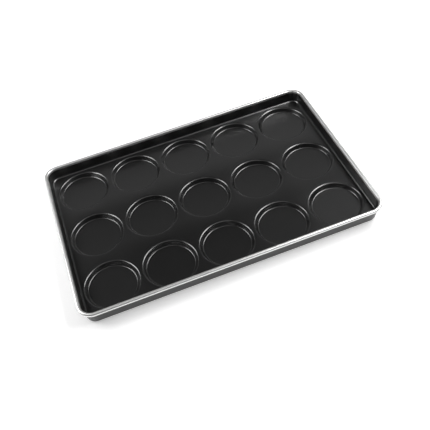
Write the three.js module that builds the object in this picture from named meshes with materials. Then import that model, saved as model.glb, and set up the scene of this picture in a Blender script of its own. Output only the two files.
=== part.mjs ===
// Burger bun pan for a bakery rack: a pressed sheet with round wells, an outer skirt that carries it,
// and a bright strip that closes both over a wire in the rim.
// Millimetres, +Z up. The origin is under the middle of the pan, on the surface that it stands on.

import * as THREE from 'three';
import { mergeGeometries, mergeVertices } from 'three/addons/utils/BufferGeometryUtils.js';

// Wells. The rim comes out at 600 x 400, the bakery rack format.
const WELL_COLUMNS = 5;
const WELL_ROWS = 3;
const WELL_DIAMETER = 105.3;   // where the well's wall would meet the deck
const WELL_WALL_LEAN = 5.5;    // how far the well's wall leans in on its way down
const WELL_DEPTH = 9;
const WELL_LIP_RADIUS = 4.3;
const WELL_FLOOR_RADIUS = 2.7;
const LAND_LENGTHWISE = 4.4;   // flat deck between the lips of neighbouring wells along X
const LAND_CROSSWISE = 18.95;  // the same along Y
const WALL_MARGIN = 0.55;      // flat deck between the outer wells' lips and the wall's fillet

// Walls and foot
const TRAY_DEPTH = 27.2;       // from the deck to the top of the rim
const WALL_DRAFT = 10;         // degrees, shared by the inner wall and the skirt
const WALL_FILLET = 5.5;       // between the deck and the inner wall
const FOOT_FLANGE = 9;         // width of the skirt's inturned foot
const FOOT_BEND = 2.5;         // outside radius of the bend above the foot
const FOOT_CLEARANCE = 0.8;    // from the table to the underside of the wells

// Rim
const RIM_CORNER_RADIUS = 26;  // in plan, at the middle of the bead
const WIRE_DIAMETER = 3;
const CURL_END = -45;          // degrees from straight outwards, where the sheet's curl stops
const STRIP_LIP = 2.5;         // straight inner edge of the strip below the bead
const SEAM_GAP = 0.4;          // between the two ends of the strip
const SEAM_FROM_CORNER = 20;   // from the start of the far left corner's bend to the seam

// Sheets and fits
const MOULD_SHEET = 1;
const SKIRT_SHEET = 1;
const STRIP_SHEET = 0.65;
const FIT_GAP = 0.3;           // between pieces that touch

// Facets
const WELL_FACETS = 24;
const CORNER_STEPS = 6;
const FILLET_STEPS = 2;
const WALL_FILLET_STEPS = 3;
const CURL_STEPS = 8;
const BEAD_STEPS = 10;
const WIRE_FACETS = 10;

// What follows from the driving dimensions
const draft = THREE.MathUtils.degToRad(WALL_DRAFT);
const wireRadius = WIRE_DIAMETER / 2;
const curlRadius = wireRadius + FIT_GAP + MOULD_SHEET;
const beadRadius = curlRadius + FIT_GAP + STRIP_SHEET;
const deckZ = FOOT_CLEARANCE + MOULD_SHEET + WELL_DEPTH;
const beadZ = deckZ + TRAY_DEPTH - beadRadius;

// Sections through the rim lie in a plane where x runs outwards from the middle of the bead and y is height.
const beadCentre = new THREE.Vector2(0, beadZ);
const wallUp = new THREE.Vector2(Math.sin(draft), Math.cos(draft));
const wallFace = new THREE.Vector2(-Math.cos(draft), Math.sin(draft));

// The wells set the size of the deck, and the deck and its wall set the size of the rim.
const wellFace = wellSection();
const trayWallFace = trayWallSection();
const lipRadius = wellFace.at(-1).point.x;
const deckEdge = trayWallFace[0].point.x;
const pitchX = 2 * lipRadius + LAND_LENGTHWISE;
const pitchY = 2 * lipRadius + LAND_CROSSWISE;
const beadHalfX = ((WELL_COLUMNS - 1) * pitchX) / 2 + lipRadius + WALL_MARGIN - deckEdge;
const beadHalfY = ((WELL_ROWS - 1) * pitchY) / 2 + lipRadius + WALL_MARGIN - deckEdge;

function leftOf(direction) {
  return new THREE.Vector2(-direction.y, direction.x);
}

function along(start, direction, distance) {
  return start.clone().addScaledVector(direction, distance);
}

// Where a line that climbs with the wall through a point comes down to a height.
function wallFoot(point, height) {
  return along(point, wallUp, (height - point.y) / wallUp.y);
}

// Samples on an arc, each with its normal pointing away from the centre.
function arc(centre, radius, fromAngle, toAngle, steps) {
  return Array.from({ length: steps + 1 }, (_, i) => {
    const angle = fromAngle + ((toAngle - fromAngle) * i) / steps;
    const normal = new THREE.Vector2(Math.cos(angle), Math.sin(angle));
    return { point: along(centre, normal, radius), normal };
  });
}

// Samples on the round of a corner between two straight runs, each with the normal on the left.
function round(before, corner, after, radius, steps) {
  const into = corner.clone().sub(before).normalize();
  const out = after.clone().sub(corner).normalize();
  const turn = Math.atan2(into.cross(out), into.dot(out));
  const side = Math.sign(turn);
  const start = along(corner, into, -radius * Math.tan(Math.abs(turn) / 2));
  const centre = along(start, leftOf(into), side * radius);
  return Array.from({ length: steps + 1 }, (_, i) => {
    const normal = leftOf(into).rotateAround(new THREE.Vector2(), (turn * i) / steps);
    return { point: along(centre, normal, -side * radius), normal };
  });
}

function straightEnd(point, direction) {
  return { point, normal: leftOf(direction) };
}

function faceOf(samples) {
  return samples.map((sample) => sample.point);
}

// The other side of a sheet whose face runs through the samples, from the last sample to the first.
function backOf(samples, thickness) {
  return samples.map((sample) => along(sample.point, sample.normal, -thickness)).reverse();
}

function sheetOutline(samples, thickness) {
  return [...faceOf(samples), ...backOf(samples, thickness)];
}

// The rim's plan moved outwards by a distance, counter-clockwise from the far right corner.
// The mould sheet can't bend tighter in plan than its own thickness.
function rimPlan(outwards) {
  const radius = Math.max(RIM_CORNER_RADIUS + outwards, MOULD_SHEET);
  const cornerX = beadHalfX + outwards - radius;
  const cornerY = beadHalfY + outwards - radius;
  const corners = [[cornerX, cornerY], [-cornerX, cornerY], [-cornerX, -cornerY], [cornerX, -cornerY]];
  return corners.flatMap(([x, y], quarter) => {
    const start = (quarter * Math.PI) / 2;
    const bend = arc(new THREE.Vector2(x, y), radius, start, start + Math.PI / 2, CORNER_STEPS);
    return faceOf(bend);
  });
}

// The same plan as an open line that starts and ends at the strip's seam on the left side.
function seamedPlan(outwards) {
  const plan = rimPlan(outwards);
  const seamY = beadHalfY - RIM_CORNER_RADIUS - SEAM_FROM_CORNER;
  const leftX = -beadHalfX - outwards;
  const farCorners = plan.slice(0, 2 * (CORNER_STEPS + 1));
  const nearCorners = plan.slice(2 * (CORNER_STEPS + 1));
  return [
    new THREE.Vector2(leftX, seamY - SEAM_GAP / 2),
    ...nearCorners,
    ...farCorners,
    new THREE.Vector2(leftX, seamY + SEAM_GAP / 2),
  ];
}

// The plan of one well: a circle of the radius asked for, counter-clockwise.
function wellPlan(centre) {
  const wholeTurn = 2 * Math.PI;
  return (radius) => faceOf(arc(centre, radius, 0, wholeTurn, WELL_FACETS)).slice(1);
}

// A section carried round a plan: one ring of points for each point of the section.
function ringsAlong(section, plan) {
  return section.map(({ x, y }) => plan(x).map((p) => new THREE.Vector3(p.x, p.y, y)));
}

// The skin over a row of rings, with its outside on the left of the way from ring to ring.
function skin(rings, { ringClosed = true, sectionClosed = false } = {}) {
  const ringLength = rings[0].length;
  const bands = sectionClosed ? rings.length : rings.length - 1;
  const spans = ringClosed ? ringLength : ringLength - 1;
  const corners = [];
  for (let band = 0; band < bands; band += 1) {
    const from = rings[band];
    const to = rings[(band + 1) % rings.length];
    for (let span = 0; span < spans; span += 1) {
      const next = (span + 1) % ringLength;
      if (!to[span].equals(to[next])) corners.push(from[span], to[span], to[next]);
      if (!from[span].equals(from[next])) corners.push(from[span], to[next], from[next]);
    }
  }
  return new THREE.BufferGeometry().setFromPoints(corners);
}

// A flat plate without thickness at a height, facing up, or down where it is turned over.
function flatFace(outline, holes, height, turnedOver) {
  const shape = new THREE.Shape(outline);
  shape.holes = holes.map((hole) => new THREE.Path(hole));
  const geometry = new THREE.ShapeGeometry(shape).toNonIndexed();
  geometry.deleteAttribute('normal');
  geometry.deleteAttribute('uv');
  geometry.translate(0, 0, height);
  return turnedOver ? turnOver(geometry) : geometry;
}

function turnOver(geometry) {
  const index = [];
  for (let corner = 0; corner < geometry.attributes.position.count; corner += 3) {
    index.push(corner, corner + 2, corner + 1);
  }
  geometry.setIndex(index);
  return geometry.toNonIndexed();
}

function sewn(surfaces) {
  const geometry = mergeVertices(mergeGeometries(surfaces));
  geometry.computeVertexNormals();
  return geometry;
}

function wellCentres() {
  const centres = [];
  for (let row = 0; row < WELL_ROWS; row += 1) {
    for (let column = 0; column < WELL_COLUMNS; column += 1) {
      const x = (column - (WELL_COLUMNS - 1) / 2) * pitchX;
      const y = (row - (WELL_ROWS - 1) / 2) * pitchY;
      centres.push(new THREE.Vector2(x, y));
    }
  }
  return centres;
}

// Half section of a well's upper face, from the middle of the floor to the edge of the lip.
function wellSection() {
  const floorZ = deckZ - WELL_DEPTH;
  const middle = new THREE.Vector2(0, floorZ);
  const floorCorner = new THREE.Vector2(WELL_DIAMETER / 2 - WELL_WALL_LEAN, floorZ);
  const lipCorner = new THREE.Vector2(WELL_DIAMETER / 2, deckZ);
  const deck = new THREE.Vector2(WELL_DIAMETER, deckZ);
  return [
    straightEnd(middle, new THREE.Vector2(1, 0)),
    ...round(middle, floorCorner, lipCorner, WELL_FLOOR_RADIUS, FILLET_STEPS),
    ...round(floorCorner, lipCorner, deck, WELL_LIP_RADIUS, FILLET_STEPS),
  ];
}

// Section of the tray's inner wall, from the edge of the deck up and over the wire.
function trayWallSection() {
  const wallTop = along(beadCentre, wallFace, curlRadius);
  const wallBase = wallFoot(wallTop, deckZ);
  const deck = new THREE.Vector2(wallBase.x - WALL_FILLET, deckZ);
  const curlEnd = THREE.MathUtils.degToRad(CURL_END);
  return [
    ...round(deck, wallBase, wallTop, WALL_FILLET, WALL_FILLET_STEPS),
    ...arc(beadCentre, curlRadius, Math.PI - draft, curlEnd, CURL_STEPS),
  ];
}

function mouldSheet() {
  const deckOutline = rimPlan(deckEdge);
  const wellPlans = wellCentres().map(wellPlan);
  const lips = wellPlans.map((plan) => plan(lipRadius));
  const wells = wellPlans.flatMap((plan) => [
    skin(ringsAlong(faceOf(wellFace), plan)),
    skin(ringsAlong(backOf(wellFace, MOULD_SHEET), plan)),
  ]);
  return sewn([
    flatFace(deckOutline, lips, deckZ, false),
    flatFace(deckOutline, lips, deckZ - MOULD_SHEET, true),
    skin(ringsAlong(sheetOutline(trayWallFace, MOULD_SHEET), rimPlan)),
    ...wells,
  ]);
}

// The skirt lies against the back of the inner wall, and its top edge stops under the wire.
function outerSkirt() {
  const faceOffset = curlRadius - MOULD_SHEET - FIT_GAP - SKIRT_SHEET;
  const wireReach = wireRadius + FIT_GAP;
  const drop = Math.sqrt(wireReach ** 2 - Math.max(faceOffset, 0) ** 2);
  const topEdge = along(along(beadCentre, wallFace, faceOffset), wallUp, -drop);
  const footCorner = wallFoot(topEdge, 0);
  const flangeEdge = new THREE.Vector2(footCorner.x - FOOT_FLANGE, 0);
  const section = [
    straightEnd(topEdge, wallUp.clone().negate()),
    ...round(topEdge, footCorner, flangeEdge, FOOT_BEND, FILLET_STEPS),
    straightEnd(flangeEdge, new THREE.Vector2(-1, 0)),
  ];
  return sewn([skin(ringsAlong(sheetOutline(section, SKIRT_SHEET), rimPlan), { sectionClosed: true })]);
}

// The strip grips the inner wall with a straight lip, rolls over the curl and ends against the skirt.
function rimStrip() {
  const lipTop = along(beadCentre, wallFace, beadRadius);
  const skirtReach = wireRadius - SKIRT_SHEET - FIT_GAP;
  const endTurn = Math.asin(skirtReach / (beadRadius - STRIP_SHEET / 2));
  const endAngle = -Math.PI / 2 - draft - endTurn;
  const section = [
    straightEnd(along(lipTop, wallUp, -STRIP_LIP), wallUp),
    ...arc(beadCentre, beadRadius, Math.PI - draft, endAngle, BEAD_STEPS),
  ];
  const outline = sheetOutline(section, STRIP_SHEET);
  const rings = ringsAlong(outline, seamedPlan);
  const openSkin = skin(rings, { ringClosed: false, sectionClosed: true });
  return sewn([openSkin, ...seamEnds(outline, rings)]);
}

// The two end faces of the strip, which look at each other across the seam.
function seamEnds(outline, rings) {
  const triangles = THREE.ShapeUtils.triangulateShape(outline, []);
  const firstEnd = triangles.flat().map((corner) => rings[corner][0]);
  const lastEnd = triangles.flat().map((corner) => rings[corner].at(-1));
  const first = new THREE.BufferGeometry().setFromPoints(firstEnd);
  const last = new THREE.BufferGeometry().setFromPoints(lastEnd);
  return [first, turnOver(last)];
}

function rimWire() {
  const section = arc(beadCentre, wireRadius, 0, -2 * Math.PI, WIRE_FACETS).slice(1);
  return sewn([skin(ringsAlong(faceOf(section), rimPlan), { sectionClosed: true })]);
}

function piece(name, geometry, color, roughness, metalness) {
  const material = new THREE.MeshStandardMaterial({ color, roughness, metalness });
  const mesh = new THREE.Mesh(geometry, material);
  mesh.name = name;
  return mesh;
}

const pan = new THREE.Group();
pan.name = 'burger_bun_pan';
pan.add(
  piece('mould_sheet', mouldSheet(), 0x151515, 0.45, 0.2),
  piece('outer_skirt', outerSkirt(), 0x4a4c4c, 0.4, 0.6),
  piece('rim_strip', rimStrip(), 0xd8d8d6, 0.25, 1),
  piece('rim_wire', rimWire(), 0x9a9a98, 0.4, 1),
);

export default pan;
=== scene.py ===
"""Burger bun pan: the finished surfaces of its sheet, skirt, rim strip and wire, around the CAD frame."""

import math

import bpy
from bpy.props import FloatProperty, FloatVectorProperty, IntProperty, PointerProperty
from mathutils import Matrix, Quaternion, Vector


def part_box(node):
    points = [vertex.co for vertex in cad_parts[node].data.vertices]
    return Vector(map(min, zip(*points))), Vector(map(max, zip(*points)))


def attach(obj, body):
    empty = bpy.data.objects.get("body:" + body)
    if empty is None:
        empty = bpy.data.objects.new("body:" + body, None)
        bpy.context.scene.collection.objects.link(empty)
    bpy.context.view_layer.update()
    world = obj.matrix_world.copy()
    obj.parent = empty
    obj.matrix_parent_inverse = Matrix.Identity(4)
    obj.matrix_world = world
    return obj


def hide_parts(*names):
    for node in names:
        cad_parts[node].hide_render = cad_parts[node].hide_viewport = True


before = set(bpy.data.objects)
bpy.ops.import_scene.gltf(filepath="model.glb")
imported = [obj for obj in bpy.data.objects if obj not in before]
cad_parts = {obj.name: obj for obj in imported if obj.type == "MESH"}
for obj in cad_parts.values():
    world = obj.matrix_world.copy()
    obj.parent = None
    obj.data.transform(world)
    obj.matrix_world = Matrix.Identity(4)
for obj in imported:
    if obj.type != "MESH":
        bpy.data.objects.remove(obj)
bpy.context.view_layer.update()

bl_info = {
    "name": "Burger Bun Pan",
    "version": (1, 0, 0),
    "blender": (4, 5, 0),
    "location": "3D View > Sidebar > Bun Pan",
    "description": "Builds a coated bun pan with round wells, an outer skirt and a bright rim",
    "category": "Object",
}

BODY = "root"
STRIP_LOW, STRIP_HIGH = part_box("rim_strip")

# How finely the round forms are divided
WELL_FACETS = 96
ROUND_STEPS = 8
FILLET_STEPS = 10
CURL_STEPS = 20
BEAD_STEPS = 28
CORNER_STEPS = 20
WIRE_FACETS = 16
WELD_DISTANCE = 0.00001
SHARP_ANGLE = math.radians(40)
FACES_AT_SHARED_EDGE = 2.0

# Noise in the finishes: features to a metre, and the part of its range that is used
GRAINS_PER_METRE = 1400.0
GRAIN_SPAN = (0.56, 0.70)
PATCHES_PER_METRE = 26.0
PATCH_DETAIL = 4.0
PATCH_SPAN = (0.3, 0.7)
WIRE_PATCHES_PER_METRE = 300.0
PEEL_PER_METRE = 620.0
LINES_PER_METRE = (9.0, 2600.0, 1.0)
LINE_DETAIL = 3.0
LINE_SPAN = (0.35, 0.65)

# Gloss and relief of the finishes
COAT_ROUGHNESS = 0.28
COAT_IOR = 2.0
SKIRT_ROUGHNESS = 0.35
SKIRT_IOR = 1.5
GLOSS_SPREAD = 0.005
STRIP_ROUGHNESS = (0.40, 0.46)
WIRE_ROUGHNESS = (0.3, 0.45)
WIRE_PATCH_SHADE = 0.8
PEEL_RELIEF = {"Strength": 0.01, "Distance": 0.0005}
LINE_RELIEF = {"Strength": 0.005, "Distance": 0.0002}

FLOOR_REACH = 5.0
FLOOR_DROP = 0.0002


def length(name, description, default):
    return FloatProperty(name=name, description=description, default=default, unit="LENGTH", precision=5)


def angle(name, description, degrees):
    return FloatProperty(name=name, description=description, default=math.radians(degrees), unit="ROTATION")


def count(name, description, default):
    return IntProperty(name=name, description=description, default=default, min=1)


def colour(name, description, default):
    return FloatVectorProperty(
        name=name, description=description, default=default, size=3, min=0.0, max=1.0, subtype="COLOR"
    )


def place(name, description, default):
    return FloatVectorProperty(
        name=name, description=description, default=default, size=3, subtype="TRANSLATION"
    )


def power(name, description, default):
    return FloatProperty(name=name, description=description, default=default, min=0.0, unit="POWER")


class PanSizes(bpy.types.PropertyGroup):
    """Real sizes of the pan."""

    rim_length: length("Rim length", "Over the bead, along the pan", STRIP_HIGH.x - STRIP_LOW.x)
    rim_width: length("Rim width", "Over the bead, across the pan", STRIP_HIGH.y - STRIP_LOW.y)
    rim_height: length("Rim height", "From the table to the top of the bead", STRIP_HIGH.z)
    rim_corner: length("Rim corner", "Plan radius of the rim's corners, at the middle of the bead", 0.026)
    tray_depth: length("Tray depth", "From the deck to the top of the bead", 0.0272)
    wall_draft: angle("Wall draft", "Lean of the inner wall and of the skirt", 10)
    wall_fillet: length("Wall fillet", "Round between the deck and the inner wall", 0.0055)

    well_columns: count("Well columns", "Wells along the pan", 5)
    well_rows: count("Well rows", "Wells across the pan", 3)
    well_diameter: length("Well diameter", "Where the well's wall would meet the deck", 0.1053)
    well_depth: length("Well depth", "From the deck to the well's floor", 0.009)
    well_lean: length("Well lean", "How far the well's wall leans in on its way down", 0.0055)
    well_lip: length("Well lip", "Round between the deck and the well's wall", 0.0043)
    well_heel: length("Well heel", "Round between the well's wall and its floor", 0.0027)
    land_lengthwise: length("Land lengthwise", "Flat deck between lips along the pan", 0.0044)
    land_crosswise: length("Land crosswise", "Flat deck between lips across the pan", 0.01895)

    foot_flange: length("Foot flange", "Width of the skirt's inturned foot", 0.009)
    foot_bend: length("Foot bend", "Outside radius of the bend above the foot", 0.0025)
    wire_diameter: length("Wire diameter", "Wire inside the rim", 0.003)
    curl_end: angle("Curl end", "Where the sheet's curl stops, from straight outwards", -45)
    strip_lip: length("Strip lip", "Straight inner edge of the strip below the bead", 0.0025)
    seam_gap: length("Seam gap", "Between the two ends of the strip", 0.0004)
    seam_from_corner: length("Seam from corner", "From the far left corner's bend to the seam", 0.020)

    mould_sheet: length("Mould sheet", "Thickness of the pressed sheet", 0.001)
    skirt_sheet: length("Skirt sheet", "Thickness of the skirt", 0.001)
    strip_sheet: length("Strip sheet", "Thickness of the rim strip", 0.00065)
    fit_gap: length("Fit gap", "Between pieces that touch", 0.0003)


class PanColours(bpy.types.PropertyGroup):
    """Colours of the pan's finishes."""

    coat: colour("Non-stick coat", "Black coat of the mould sheet", (0.001, 0.001, 0.001))
    coat_fleck: colour("Coat fleck", "Paler grains in the black coat", (0.003, 0.003, 0.003))
    skirt: colour("Skirt coat", "Dark coat of the outer skirt", (0.035, 0.036, 0.036))
    skirt_fleck: colour("Skirt fleck", "Paler grains in the skirt's coat", (0.05, 0.051, 0.051))
    strip: colour("Rim strip", "Bright rolled strip", (0.93, 0.93, 0.92))
    strip_line: colour("Rolling lines", "Duller lines along the strip", (0.79, 0.79, 0.78))
    wire: colour("Rim wire", "Drawn steel wire", (0.48, 0.48, 0.47))
    floor: colour("Floor", "Pale studio floor", (0.82, 0.82, 0.82))


class StudioSettings(bpy.types.PropertyGroup):
    """Camera and lamps."""

    camera_place: place("Camera place", "Where the camera stands", (-0.161458, -0.820728, 0.933743))
    camera_azimuth: angle("Camera azimuth", "Turn of the camera round the pan", -12.05)
    camera_elevation: angle("Camera elevation", "Height of the camera above the horizon", 49.72)
    camera_roll: angle("Camera roll", "Tilt of the camera about its line of sight", -10.26)
    camera_lens: FloatProperty(
        name="Camera lens", description="Focal length", default=51.07, min=1.0, unit="CAMERA"
    )
    right_box_power: power("Right box", "Wide soft box high at the right", 26.0)
    left_box_power: power("Left box", "Soft box at the left, behind", 15.0)
    near_panel_power: power("Near panel", "Dim panel high in front", 2.2)
    back_panel_power: power("Back panel", "Dim wide panel behind the pan", 3.2)
    back_fill_power: power("Back fill", "Lamp behind the pan that shows in no reflection", 15.0)
    surround: FloatProperty(
        name="Surround", description="Grey level of the dim room", default=0.02, min=0.0
    )
    floor_glow: FloatProperty(
        name="Floor glow", description="White added to the floor", default=0.34, min=0.0
    )


def left_of(direction):
    return Vector((-direction.y, direction.x))


def arc(centre, radius, start, end, steps):
    """Points on an arc, each with its normal away from the centre."""
    samples = []
    for step in range(steps + 1):
        turn = start + (end - start) * step / steps
        normal = Vector((math.cos(turn), math.sin(turn)))
        samples.append((centre + normal * radius, normal))
    return samples


def rounded(before, corner, after, radius, steps):
    """Points on the round of a corner between two straight runs, each with its normal on the left."""
    into = (corner - before).normalized()
    out = (after - corner).normalized()
    turn = math.atan2(into.x * out.y - into.y * out.x, into.dot(out))
    side = math.copysign(1.0, turn)
    start = corner - into * radius * math.tan(abs(turn) / 2)
    centre = start + left_of(into) * side * radius
    first = math.atan2(left_of(into).y, left_of(into).x)
    samples = []
    for step in range(steps + 1):
        heading = first + turn * step / steps
        normal = Vector((math.cos(heading), math.sin(heading)))
        samples.append((centre - normal * side * radius, normal))
    return samples


def straight_end(point, direction):
    return point, left_of(direction)


def face_of(samples):
    return [point for point, _ in samples]


def sheet_outline(samples, thickness):
    """Closed outline of a sheet whose face runs through the samples."""
    back = [point - normal * thickness for point, normal in samples]
    return face_of(samples) + back[::-1]


class PanShape:
    """Sizes that follow from the pan's own, and the sections that share them.

    In a section x runs outwards from the middle of the bead and y is height.
    """

    def __init__(self, sizes):
        self.sizes = sizes
        self.draft = sizes.wall_draft
        self.wire_radius = sizes.wire_diameter / 2
        self.curl_radius = self.wire_radius + sizes.fit_gap + sizes.mould_sheet
        self.bead_radius = self.curl_radius + sizes.fit_gap + sizes.strip_sheet
        self.bead_half_x = sizes.rim_length / 2 - self.bead_radius
        self.bead_half_y = sizes.rim_width / 2 - self.bead_radius
        self.bead_centre = Vector((0.0, sizes.rim_height - self.bead_radius))
        self.deck_height = sizes.rim_height - sizes.tray_depth
        self.wall_up = Vector((math.sin(self.draft), math.cos(self.draft)))
        self.wall_face = left_of(self.wall_up)
        self.lip_radius = self.well_section()[-1].x
        self.pitch_x = 2 * self.lip_radius + sizes.land_lengthwise
        self.pitch_y = 2 * self.lip_radius + sizes.land_crosswise

    def wall_foot(self, point, height):
        """Where a line that climbs with the wall through a point comes down to a height."""
        return point + self.wall_up * (height - point.y) / self.wall_up.y

    def well_section(self):
        """Half section of a well's face below the deck, from the floor's edge to the lip's edge."""
        sizes = self.sizes
        middle = Vector((0.0, -sizes.well_depth))
        heel = Vector((sizes.well_diameter / 2 - sizes.well_lean, -sizes.well_depth))
        lip = Vector((sizes.well_diameter / 2, 0.0))
        deck = Vector((sizes.well_diameter, 0.0))
        samples = rounded(middle, heel, lip, sizes.well_heel, ROUND_STEPS)
        samples += rounded(heel, lip, deck, sizes.well_lip, ROUND_STEPS)
        return face_of(samples)

    def tray_wall_section(self):
        """Face of the inner wall, from the edge of the deck up and over the wire."""
        sizes = self.sizes
        wall_top = self.bead_centre + self.wall_face * self.curl_radius
        wall_base = self.wall_foot(wall_top, self.deck_height)
        deck = wall_base - Vector((sizes.wall_fillet, 0.0))
        samples = rounded(deck, wall_base, wall_top, sizes.wall_fillet, FILLET_STEPS)
        samples += arc(self.bead_centre, self.curl_radius, math.pi - self.draft, sizes.curl_end, CURL_STEPS)
        return face_of(samples)

    def skirt_section(self):
        """Outline of the skirt: it lies behind the inner wall, and its foot turns in on the table."""
        sizes = self.sizes
        face_offset = self.curl_radius - sizes.mould_sheet - sizes.fit_gap - sizes.skirt_sheet
        drop = math.sqrt((self.wire_radius + sizes.fit_gap) ** 2 - face_offset ** 2)
        top = self.bead_centre + self.wall_face * face_offset - self.wall_up * drop
        corner = self.wall_foot(top, 0.0)
        edge = corner - Vector((sizes.foot_flange, 0.0))
        samples = [straight_end(top, -self.wall_up)]
        samples += rounded(top, corner, edge, sizes.foot_bend, ROUND_STEPS)
        samples.append(straight_end(edge, Vector((-1.0, 0.0))))
        return sheet_outline(samples, sizes.skirt_sheet)

    def strip_section(self):
        """Outline of the strip: a straight lip on the inner wall, then the bead down to the skirt."""
        sizes = self.sizes
        lip_top = self.bead_centre + self.wall_face * self.bead_radius
        skirt_reach = self.wire_radius - sizes.skirt_sheet - sizes.fit_gap
        end_turn = math.asin(skirt_reach / (self.bead_radius - sizes.strip_sheet / 2))
        end = -math.pi / 2 - self.draft - end_turn
        samples = [straight_end(lip_top - self.wall_up * sizes.strip_lip, self.wall_up)]
        samples += arc(self.bead_centre, self.bead_radius, math.pi - self.draft, end, BEAD_STEPS)
        return sheet_outline(samples, sizes.strip_sheet)

    def wire_section(self):
        return face_of(arc(self.bead_centre, self.wire_radius, 0.0, -2 * math.pi, WIRE_FACETS))[1:]

    def rim_path(self):
        """Middle line of the bead, counter-clockwise from the far right corner."""
        radius = self.sizes.rim_corner
        x = self.bead_half_x - radius
        y = self.bead_half_y - radius
        path = []
        for quarter, corner in enumerate(((x, y), (-x, y), (-x, -y), (x, -y))):
            start = quarter * math.pi / 2
            path += face_of(arc(Vector(corner), radius, start, start + math.pi / 2, CORNER_STEPS))
        return path

    def seamed_path(self):
        """The same line, open at the strip's seam on the left side."""
        sizes = self.sizes
        path = self.rim_path()
        half_way = len(path) // 2
        seam_y = self.bead_half_y - sizes.rim_corner - sizes.seam_from_corner
        first = Vector((-self.bead_half_x, seam_y - sizes.seam_gap / 2))
        last = Vector((-self.bead_half_x, seam_y + sizes.seam_gap / 2))
        return [first] + path[half_way:] + path[:half_way] + [last]


def add_node(tree, kind, inputs=None, **settings):
    """A node with its settings and inputs: a socket is linked, and anything else is a value."""
    node = tree.nodes.new(kind)
    for name, value in settings.items():
        setattr(node, name, value)
    for name, value in (inputs or {}).items():
        if isinstance(value, bpy.types.NodeSocket):
            tree.links.new(value, node.inputs[name])
        else:
            node.inputs[name].default_value = value
    return node


def new_shape_tree(name, inputs):
    """An empty geometry tree with named inputs, its given values and the socket for its result."""
    tree = bpy.data.node_groups.new(name, "GeometryNodeTree")
    for label, kind in inputs.items():
        tree.interface.new_socket(label, in_out="INPUT", socket_type="NodeSocket" + kind)
    tree.interface.new_socket("Geometry", in_out="OUTPUT", socket_type="NodeSocketGeometry")
    given = tree.nodes.new("NodeGroupInput").outputs
    output = tree.nodes.new("NodeGroupOutput").inputs["Geometry"]
    return tree, given, output


def swept(tree, path, section, fill_caps):
    """A section object carried along a path object, with lengths kept along and around it."""
    measure = add_node(tree, "GeometryNodeSplineParameter").outputs["Length"]
    route = add_node(tree, "GeometryNodeObjectInfo", {"Object": path}).outputs["Geometry"]
    route = add_node(tree, "GeometryNodeSetCurveNormal", {"Curve": route}, mode="Z_UP").outputs["Curve"]
    route = add_node(
        tree, "GeometryNodeStoreNamedAttribute", {"Geometry": route, "Name": "along", "Value": measure}
    ).outputs["Geometry"]
    profile = add_node(tree, "GeometryNodeObjectInfo", {"Object": section}).outputs["Geometry"]
    profile = add_node(
        tree, "GeometryNodeStoreNamedAttribute", {"Geometry": profile, "Name": "around", "Value": measure}
    ).outputs["Geometry"]
    sweep = {"Curve": route, "Profile Curve": profile, "Fill Caps": fill_caps}
    return add_node(tree, "GeometryNodeCurveToMesh", sweep).outputs["Mesh"]


def finished(tree, geometry, finish, output):
    """The tree's last nodes: plain faces, welded, smooth and with their finish."""
    real = add_node(tree, "GeometryNodeRealizeInstances", {"Geometry": geometry}).outputs["Geometry"]
    weld = {"Geometry": real, "Distance": WELD_DISTANCE}
    welded = add_node(tree, "GeometryNodeMergeByDistance", weld).outputs["Geometry"]
    smooth = add_node(tree, "GeometryNodeSetShadeSmooth", {"Geometry": welded}).outputs["Geometry"]
    coated = add_node(tree, "GeometryNodeSetMaterial", {"Geometry": smooth, "Material": finish})
    tree.links.new(coated.outputs["Geometry"], output)


def rim_sweep_tree():
    """A piece of the rim: one section swept along the rim's line."""
    inputs = {"Path": "Object", "Section": "Object", "Fill Caps": "Bool", "Finish": "Material"}
    tree, given, output = new_shape_tree("rim_sweep", inputs)
    body = swept(tree, given["Path"], given["Section"], given["Fill Caps"])
    finished(tree, body, given["Finish"], output)
    return tree


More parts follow.
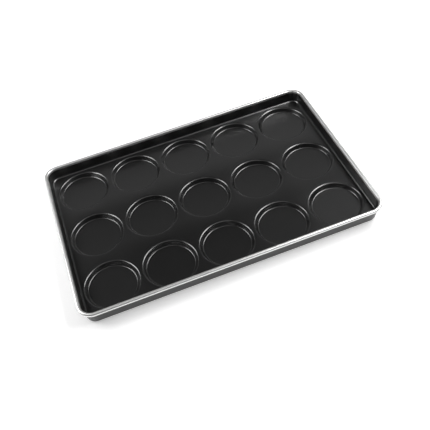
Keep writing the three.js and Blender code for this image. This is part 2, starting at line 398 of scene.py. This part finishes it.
def mould_face_tree():
    """The upper face of the mould sheet: swept wall, flat deck and a pattern of wells."""
    inputs = {
        "Path": "Object", "Wall": "Object", "Well": "Object", "Finish": "Material",
        "Columns": "Int", "Rows": "Int", "Pitch X": "Float", "Pitch Y": "Float",
        "Lip Radius": "Float", "Deck Height": "Float",
    }
    tree, given, output = new_shape_tree("mould_face", inputs)

    def maths(operation, first, second):
        node = add_node(tree, "ShaderNodeMath", operation=operation)
        for socket, value in zip(node.inputs, (first, second)):
            if isinstance(value, bpy.types.NodeSocket):
                tree.links.new(value, socket)
            else:
                socket.default_value = value
        return node.outputs["Value"]

    wall = swept(tree, given["Path"], given["Wall"], False)

    # The deck is bounded by the wall's own lower edge, which is an open one.
    faces = add_node(tree, "GeometryNodeInputMeshEdgeNeighbors").outputs["Face Count"]
    position = add_node(tree, "GeometryNodeInputPosition").outputs["Position"]
    height = add_node(tree, "ShaderNodeSeparateXYZ", {"Vector": position}).outputs["Z"]
    at_deck = maths("LESS_THAN", height, maths("ADD", given["Deck Height"], WELD_DISTANCE))
    deck_edge = maths("MULTIPLY", at_deck, maths("LESS_THAN", faces, FACES_AT_SHARED_EDGE))
    rim_of_deck = {"Mesh": wall, "Selection": deck_edge}
    outline = add_node(tree, "GeometryNodeMeshToCurve", rim_of_deck).outputs["Curve"]

    grid = {
        "Size X": maths("MULTIPLY", maths("SUBTRACT", given["Columns"], 1.0), given["Pitch X"]),
        "Size Y": maths("MULTIPLY", maths("SUBTRACT", given["Rows"], 1.0), given["Pitch Y"]),
        "Vertices X": given["Columns"],
        "Vertices Y": given["Rows"],
    }
    centres = add_node(tree, "GeometryNodeMeshGrid", grid).outputs["Mesh"]
    circle = {"Resolution": WELL_FACETS, "Radius": given["Lip Radius"]}
    lip = add_node(tree, "GeometryNodeCurvePrimitiveCircle", circle).outputs["Curve"]
    lips = add_node(tree, "GeometryNodeInstanceOnPoints", {"Points": centres, "Instance": lip})
    well = add_node(tree, "GeometryNodeObjectInfo", {"Object": given["Well"]}).outputs["Geometry"]
    wells = add_node(tree, "GeometryNodeInstanceOnPoints", {"Points": centres, "Instance": well})

    edges = add_node(tree, "GeometryNodeJoinGeometry")
    tree.links.new(lips.outputs["Instances"], edges.inputs["Geometry"])
    tree.links.new(outline, edges.inputs["Geometry"])
    edges = add_node(tree, "GeometryNodeRealizeInstances", {"Geometry": edges.outputs["Geometry"]})
    deck = add_node(tree, "GeometryNodeFillCurve", {"Curve": edges.outputs["Geometry"]}).outputs["Mesh"]

    pressed = add_node(tree, "GeometryNodeJoinGeometry")
    tree.links.new(deck, pressed.inputs["Geometry"])
    tree.links.new(wells.outputs["Instances"], pressed.inputs["Geometry"])
    lift = add_node(tree, "ShaderNodeCombineXYZ", {"Z": given["Deck Height"]}).outputs["Vector"]
    raised = {"Geometry": pressed.outputs["Geometry"], "Translation": lift}
    raised = add_node(tree, "GeometryNodeTransform", raised).outputs["Geometry"]
    whole = add_node(tree, "GeometryNodeJoinGeometry")
    tree.links.new(wall, whole.inputs["Geometry"])
    tree.links.new(raised, whole.inputs["Geometry"])
    finished(tree, whole.outputs["Geometry"], given["Finish"], output)
    return tree


def new_object(name, data):
    made = bpy.data.objects.new(name, data)
    bpy.context.scene.collection.objects.link(made)
    return made


def line_object(name, points, closed):
    """A line of straight runs in the ground plane."""
    line = bpy.data.curves.new(name, "CURVE")
    line.dimensions = "3D"
    spline = line.splines.new("POLY")
    spline.points.add(len(points) - 1)
    for target, point in zip(spline.points, points):
        target.co = (point.x, point.y, 0.0, 1.0)
    spline.use_cyclic_u = closed
    return new_object(name, line)


def section_object(name, points, closed):
    """A section for a sweep, where height runs down the section object's own Y axis."""
    return line_object(name, [Vector((point.x, -point.y)) for point in points], closed)


def well_object(section):
    """One well's face: its floor, and its section carried round."""
    corners = []
    for point in section:
        for facet in range(WELL_FACETS):
            turn = 2 * math.pi * facet / WELL_FACETS
            corners.append((point.x * math.cos(turn), point.x * math.sin(turn), point.y))
    faces = [list(range(WELL_FACETS))]
    for ring in range(len(section) - 1):
        for facet in range(WELL_FACETS):
            here = ring * WELL_FACETS + facet
            beside = ring * WELL_FACETS + (facet + 1) % WELL_FACETS
            faces.append([here, here + WELL_FACETS, beside + WELL_FACETS, beside])
    mesh = bpy.data.meshes.new("well")
    mesh.from_pydata(corners, [], faces)
    return new_object("well", mesh)


def modelled(tree, values):
    """An object that holds a geometry tree with its inputs set."""
    carrier = new_object(tree.name, bpy.data.meshes.new(tree.name))
    modifier = carrier.modifiers.new(tree.name, "NODES")
    modifier.node_group = tree
    for item in tree.interface.items_tree:
        if item.in_out == "INPUT":
            modifier[item.identifier] = values[item.name]
    return carrier


def plain_mesh(carrier):
    """The result of an object's modifiers as a mesh of its own."""
    depsgraph = bpy.context.evaluated_depsgraph_get()
    return bpy.data.meshes.new_from_object(
        carrier.evaluated_get(depsgraph), preserve_all_data_layers=True, depsgraph=depsgraph
    )


def discard(*helpers):
    for helper in helpers:
        bpy.data.objects.remove(helper)


def finish_piece(name, mesh, finish, node):
    """A finished mesh takes its CAD node's place. Of its material slots only the finish is kept."""
    mesh.name = name
    mesh.materials.clear()
    mesh.materials.append(finish)
    mesh.polygons.foreach_set("material_index", [0] * len(mesh.polygons))
    mesh.set_sharp_from_angle(angle=SHARP_ANGLE)
    piece = new_object(name, mesh)
    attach(piece, BODY)
    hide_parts(node)
    return piece


def sweep_piece(name, node, path, path_closed, section, finish):
    """A piece of the rim, swept along its path and put in its CAD node's place."""
    route = line_object("route", path, path_closed)
    profile = section_object("profile", section, True)
    values = {"Path": route, "Section": profile, "Fill Caps": not path_closed, "Finish": finish}
    carrier = modelled(rim_sweep_tree(), values)
    mesh = plain_mesh(carrier)
    discard(carrier, route, profile)
    return finish_piece(name, mesh, finish, node)


def build_mould_sheet(sizes, colours):
    shape = PanShape(sizes)
    route = line_object("route", shape.rim_path(), True)
    wall = section_object("wall", shape.tray_wall_section(), False)
    well = well_object(shape.well_section())
    finish = non_stick_coat(colours)
    values = {
        "Path": route, "Wall": wall, "Well": well, "Finish": finish,
        "Columns": sizes.well_columns, "Rows": sizes.well_rows,
        "Pitch X": shape.pitch_x, "Pitch Y": shape.pitch_y,
        "Lip Radius": shape.lip_radius, "Deck Height": shape.deck_height,
    }
    carrier = modelled(mould_face_tree(), values)
    face = new_object("mould_face", plain_mesh(carrier))
    thickness = face.modifiers.new("thickness", "SOLIDIFY")
    thickness.thickness = sizes.mould_sheet
    thickness.offset = -1.0
    thickness.use_even_offset = True
    mesh = plain_mesh(face)
    discard(carrier, face, route, wall, well)
    return finish_piece("coated_mould_sheet", mesh, finish, "mould_sheet")


def build_outer_skirt(sizes, colours):
    shape = PanShape(sizes)
    return sweep_piece(
        "coated_skirt", "outer_skirt",
        shape.rim_path(), True, shape.skirt_section(), skirt_coat(colours),
    )


def build_rim_strip(sizes, colours):
    shape = PanShape(sizes)
    return sweep_piece(
        "rolled_rim_strip", "rim_strip",
        shape.seamed_path(), False, shape.strip_section(), rolled_strip(colours),
    )


def build_rim_wire(sizes, colours):
    shape = PanShape(sizes)
    return sweep_piece(
        "drawn_rim_wire", "rim_wire",
        shape.rim_path(), True, shape.wire_section(), drawn_wire(colours),
    )


def new_finish(name):
    """An empty node material, its tree and its surface shader."""
    material = bpy.data.materials.new(name)
    material.use_nodes = True
    tree = material.node_tree
    return material, tree, tree.nodes["Principled BSDF"]


def object_noise(tree, scale, detail=2.0):
    where = add_node(tree, "ShaderNodeTexCoord").outputs["Object"]
    noise = {"Vector": where, "Scale": scale, "Detail": detail}
    return add_node(tree, "ShaderNodeTexNoise", noise).outputs["Fac"]


def ranged(tree, factor, span, target):
    """A factor carried from one range to another, and held at its ends."""
    given = {
        "Value": factor,
        "From Min": span[0], "From Max": span[1],
        "To Min": target[0], "To Max": target[1],
    }
    return add_node(tree, "ShaderNodeMapRange", given).outputs["Result"]


def add_relief(tree, surface, height, relief):
    """Small bumps on a surface, from a height field."""
    bump = add_node(tree, "ShaderNodeBump", {"Height": height, **relief})
    tree.links.new(bump.outputs["Normal"], surface.inputs["Normal"])


def mixed_colour(tree, factor, first, second):
    """A colour between two others, by a factor."""
    node = add_node(tree, "ShaderNodeMix", data_type="RGBA")
    sockets = {socket.identifier: socket for socket in (*node.inputs, *node.outputs)}
    tree.links.new(factor, sockets["Factor_Float"])
    sockets["A_Color"].default_value = (*first, 1.0)
    sockets["B_Color"].default_value = (*second, 1.0)
    return sockets["Result_Color"]


def grainy_coat(name, ground, fleck, roughness, ior):
    """A sprayed coat: fine pale grains, slightly uneven gloss and a faint orange peel."""
    material, tree, surface = new_finish(name)
    surface.inputs["IOR"].default_value = ior
    grains = ranged(tree, object_noise(tree, GRAINS_PER_METRE), GRAIN_SPAN, (0.0, 1.0))
    tree.links.new(mixed_colour(tree, grains, ground, fleck), surface.inputs["Base Color"])
    patches = object_noise(tree, PATCHES_PER_METRE, detail=PATCH_DETAIL)
    gloss = ranged(tree, patches, PATCH_SPAN, (roughness - GLOSS_SPREAD, roughness + GLOSS_SPREAD))
    tree.links.new(gloss, surface.inputs["Roughness"])
    add_relief(tree, surface, object_noise(tree, PEEL_PER_METRE), PEEL_RELIEF)
    return material


def non_stick_coat(colours):
    return grainy_coat("black_non_stick", colours.coat, colours.coat_fleck, COAT_ROUGHNESS, COAT_IOR)


def skirt_coat(colours):
    return grainy_coat("skirt_coat", colours.skirt, colours.skirt_fleck, SKIRT_ROUGHNESS, SKIRT_IOR)


def rolled_strip(colours):
    """Bright metal with fine rolling lines that follow the rim."""
    material, tree, surface = new_finish("rolled_strip")
    surface.inputs["Metallic"].default_value = 1.0
    along = add_node(tree, "ShaderNodeAttribute", attribute_name="along").outputs["Fac"]
    around = add_node(tree, "ShaderNodeAttribute", attribute_name="around").outputs["Fac"]
    stretched = add_node(tree, "ShaderNodeCombineXYZ", {"X": along, "Y": around}).outputs["Vector"]
    squeezed = {"Vector": stretched, "Scale": LINES_PER_METRE}
    lines_at = add_node(tree, "ShaderNodeMapping", squeezed).outputs["Vector"]
    noise = {"Vector": lines_at, "Scale": 1.0, "Detail": LINE_DETAIL}
    lines = add_node(tree, "ShaderNodeTexNoise", noise).outputs["Fac"]
    tone = ranged(tree, lines, LINE_SPAN, (0.0, 1.0))
    tree.links.new(mixed_colour(tree, tone, colours.strip, colours.strip_line), surface.inputs["Base Color"])
    tree.links.new(ranged(tree, lines, PATCH_SPAN, STRIP_ROUGHNESS), surface.inputs["Roughness"])
    add_relief(tree, surface, lines, LINE_RELIEF)
    return material


def drawn_wire(colours):
    """Dull drawn steel with faint patches."""
    material, tree, surface = new_finish("drawn_wire")
    surface.inputs["Metallic"].default_value = 1.0
    patches = object_noise(tree, WIRE_PATCHES_PER_METRE)
    darker = tuple(WIRE_PATCH_SHADE * channel for channel in colours.wire)
    tree.links.new(mixed_colour(tree, patches, colours.wire, darker), surface.inputs["Base Color"])
    tree.links.new(ranged(tree, patches, PATCH_SPAN, WIRE_ROUGHNESS), surface.inputs["Roughness"])
    return material


def floor_finish(colours, glow):
    """A pale matt floor that keeps shadows, lifted to white where a camera or a mirror sees it."""
    material, tree, surface = new_finish("studio_floor")
    surface.inputs["Base Color"].default_value = (*colours.floor, 1.0)
    surface.inputs["Roughness"].default_value = 1.0
    surface.inputs["Specular IOR Level"].default_value = 0.0
    surface.inputs["Emission Color"].default_value = (1.0, 1.0, 1.0, 1.0)
    path = add_node(tree, "ShaderNodeLightPath").outputs
    seen = path["Is Camera Ray"]
    for ray in ("Is Glossy Ray", "Is Transmission Ray"):
        either = add_node(tree, "ShaderNodeMath", operation="MAXIMUM")
        tree.links.new(seen, either.inputs[0])
        tree.links.new(path[ray], either.inputs[1])
        seen = either.outputs["Value"]
    strength = add_node(tree, "ShaderNodeMath", operation="MULTIPLY")
    tree.links.new(seen, strength.inputs[0])
    strength.inputs[1].default_value = glow
    tree.links.new(strength.outputs["Value"], surface.inputs["Emission Strength"])
    return material


def add_floor(colours, glow):
    signs = ((-1, -1), (1, -1), (1, 1), (-1, 1))
    corners = [(x * FLOOR_REACH, y * FLOOR_REACH, -FLOOR_DROP) for x, y in signs]
    mesh = bpy.data.meshes.new("studio_floor")
    mesh.from_pydata(corners, [], [(0, 1, 2, 3)])
    mesh.materials.append(floor_finish(colours, glow))
    new_object("studio_floor", mesh)


def add_lamp(name, watts, azimuth, elevation, distance, width, height):
    """A soft box that faces the middle of the pan. Its azimuth in degrees counts from +X towards +Y."""
    turn = math.radians(azimuth)
    rise = math.radians(elevation)
    flat = math.cos(rise)
    where = distance * Vector((math.cos(turn) * flat, math.sin(turn) * flat, math.sin(rise)))
    lamp = bpy.data.lights.new(name, "AREA")
    lamp.shape = "RECTANGLE"
    lamp.size = width
    lamp.size_y = height
    lamp.energy = watts
    holder = new_object(name, lamp)
    holder.location = where
    holder.rotation_mode = "QUATERNION"
    holder.rotation_quaternion = where.to_track_quat("Z", "Y")
    holder.visible_camera = False
    return holder


def add_camera(studio):
    lens = bpy.data.cameras.new("camera")
    lens.lens = studio.camera_lens
    camera = new_object("camera", lens)
    flat = math.cos(studio.camera_elevation)
    back = Vector((
        math.sin(studio.camera_azimuth) * flat,
        -math.cos(studio.camera_azimuth) * flat,
        math.sin(studio.camera_elevation),
    ))
    camera.location = studio.camera_place
    camera.rotation_mode = "QUATERNION"
    level = back.to_track_quat("Z", "Y")
    camera.rotation_quaternion = level @ Quaternion((0.0, 0.0, 1.0), studio.camera_roll)
    bpy.context.scene.camera = camera


def build_stage(studio, colours):
    scene = bpy.context.scene
    scene.view_settings.view_transform = "Standard"
    world = bpy.data.worlds.new("dim_room")
    world.use_nodes = True
    background = world.node_tree.nodes["Background"]
    background.inputs["Color"].default_value = (1.0, 1.0, 1.0, 1.0)
    background.inputs["Strength"].default_value = studio.surround
    scene.world = world
    add_floor(colours, studio.floor_glow)
    add_lamp(
        "right_box", studio.right_box_power,
        azimuth=-9, elevation=52, distance=1.7, width=1.3, height=0.6,
    )
    add_lamp(
        "left_box", studio.left_box_power,
        azimuth=158, elevation=42, distance=1.7, width=0.9, height=0.6,
    )
    add_lamp(
        "near_panel", studio.near_panel_power,
        azimuth=-92, elevation=68, distance=1.6, width=1.3, height=0.5,
    )
    add_lamp(
        "back_panel", studio.back_panel_power,
        azimuth=80, elevation=29, distance=2.2, width=2.4, height=1.35,
    )
    back_fill = add_lamp(
        "back_fill", studio.back_fill_power,
        azimuth=105, elevation=30, distance=2.0, width=0.8, height=0.6,
    )
    back_fill.visible_glossy = False
    add_camera(studio)


class BUNPAN_OT_mould_sheet(bpy.types.Operator):
    """Press the deck and its wells, raise the wall and curl it over the wire"""

    bl_idname = "bun_pan.mould_sheet"
    bl_label = "Mould Sheet"

    def execute(self, context):
        build_mould_sheet(context.scene.bun_pan_sizes, context.scene.bun_pan_colours)
        return {"FINISHED"}


class BUNPAN_OT_outer_skirt(bpy.types.Operator):
    """Fold the skirt that carries the sheet on its inturned foot"""

    bl_idname = "bun_pan.outer_skirt"
    bl_label = "Outer Skirt"

    def execute(self, context):
        build_outer_skirt(context.scene.bun_pan_sizes, context.scene.bun_pan_colours)
        return {"FINISHED"}


class BUNPAN_OT_rim_strip(bpy.types.Operator):
    """Roll the bright strip over the rim, with its seam on the left side"""

    bl_idname = "bun_pan.rim_strip"
    bl_label = "Rim Strip"

    def execute(self, context):
        build_rim_strip(context.scene.bun_pan_sizes, context.scene.bun_pan_colours)
        return {"FINISHED"}


class BUNPAN_OT_rim_wire(bpy.types.Operator):
    """Lay the wire inside the rim"""

    bl_idname = "bun_pan.rim_wire"
    bl_label = "Rim Wire"

    def execute(self, context):
        build_rim_wire(context.scene.bun_pan_sizes, context.scene.bun_pan_colours)
        return {"FINISHED"}


class BUNPAN_OT_stage(bpy.types.Operator):
    """Set the floor, the lamps and the camera"""

    bl_idname = "bun_pan.stage"
    bl_label = "Stage"

    def execute(self, context):
        build_stage(context.scene.bun_pan_studio, context.scene.bun_pan_colours)
        return {"FINISHED"}


class BUNPAN_PT_sidebar(bpy.types.Panel):
    """Sizes, colours and build steps of the bun pan"""

    bl_label = "Bun Pan"
    bl_idname = "BUNPAN_PT_sidebar"
    bl_space_type = "VIEW_3D"
    bl_region_type = "UI"
    bl_category = "Bun Pan"

    def draw(self, context):
        scene = context.scene
        for group in (scene.bun_pan_sizes, scene.bun_pan_colours, scene.bun_pan_studio):
            box = self.layout.box()
            for name in group.__annotations__:
                box.prop(group, name)
        for operator in OPERATORS:
            self.layout.operator(operator.bl_idname)


GROUPS = (PanSizes, PanColours, StudioSettings)
OPERATORS = (
    BUNPAN_OT_stage,
    BUNPAN_OT_mould_sheet,
    BUNPAN_OT_outer_skirt,
    BUNPAN_OT_rim_strip,
    BUNPAN_OT_rim_wire,
)
CLASSES = (*GROUPS, *OPERATORS, BUNPAN_PT_sidebar)


def register():
    for cls in CLASSES:
        bpy.utils.register_class(cls)
    bpy.types.Scene.bun_pan_sizes = PointerProperty(type=PanSizes)
    bpy.types.Scene.bun_pan_colours = PointerProperty(type=PanColours)
    bpy.types.Scene.bun_pan_studio = PointerProperty(type=StudioSettings)


def unregister():
    del bpy.types.Scene.bun_pan_studio
    del bpy.types.Scene.bun_pan_colours
    del bpy.types.Scene.bun_pan_sizes
    for cls in reversed(CLASSES):
        bpy.utils.unregister_class(cls)


def main():
    register()
    bpy.ops.bun_pan.stage()
    bpy.ops.bun_pan.mould_sheet()
    bpy.ops.bun_pan.outer_skirt()
    bpy.ops.bun_pan.rim_strip()
    bpy.ops.bun_pan.rim_wire()


if __name__ == "__main__":
    main()
